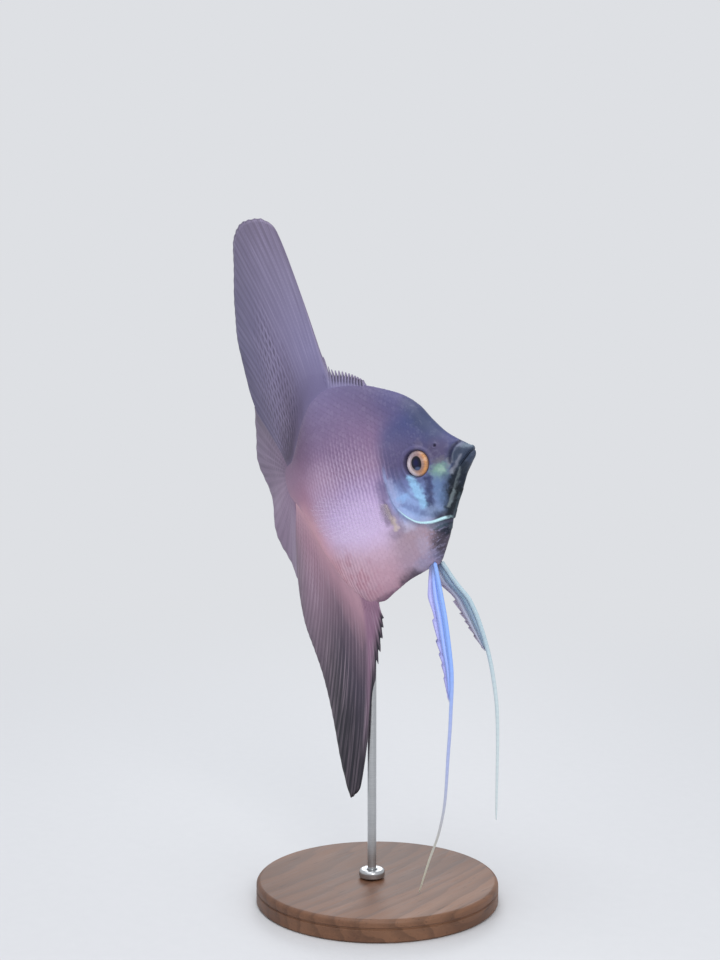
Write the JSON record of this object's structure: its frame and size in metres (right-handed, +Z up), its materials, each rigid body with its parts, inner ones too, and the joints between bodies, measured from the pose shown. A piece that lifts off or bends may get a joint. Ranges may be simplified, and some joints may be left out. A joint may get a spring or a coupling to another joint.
{
  "type": "freshwater angelfish display model",
  "caption": "Life-size still model of a swimming freshwater angelfish, nose up and tail turned, held by a slim rod on a round base.",
  "frame": {"origin": "centre of the underside of the round stand", "axes": "+X the way the fish swims, +Z up; the fish's right flank faces -Y"},
  "size_m": [0.0955, 0.0659, 0.1878],
  "materials": {
    "skin": "dusky lilac scaled skin with a wet sheen",
    "lips": "bare grey lip skin",
    "eye": "clear wet eye over a gold iris",
    "fin": "dusky rayed fin",
    "clear_fin": "clear rayed fin",
    "pelvic_fin": "pale blue rayed fin",
    "stand_wood": "oiled dark walnut",
    "stand_steel": "satin"
  },
  "bodies": {
    "root": {"head": "skin", "upper_jaw": "lips", "lower_jaw": "lips", "trunk": "skin", "tail_stalk": "skin", "eye_right": "eye", "eye_left": "eye", "dorsal_fin": "fin", "anal_fin": "fin", "caudal_fin": "fin", "pectoral_fin_right": "clear_fin", "pectoral_fin_left": "clear_fin", "pelvic_fin_right": "pelvic_fin", "pelvic_fin_left": "pelvic_fin", "pelvic_thread_right": "pelvic_fin", "pelvic_thread_left": "pelvic_fin", "stand_base": "stand_wood", "stand_rod": "stand_steel", "stand_collar": "stand_steel"}
  },
  "joints": []
}
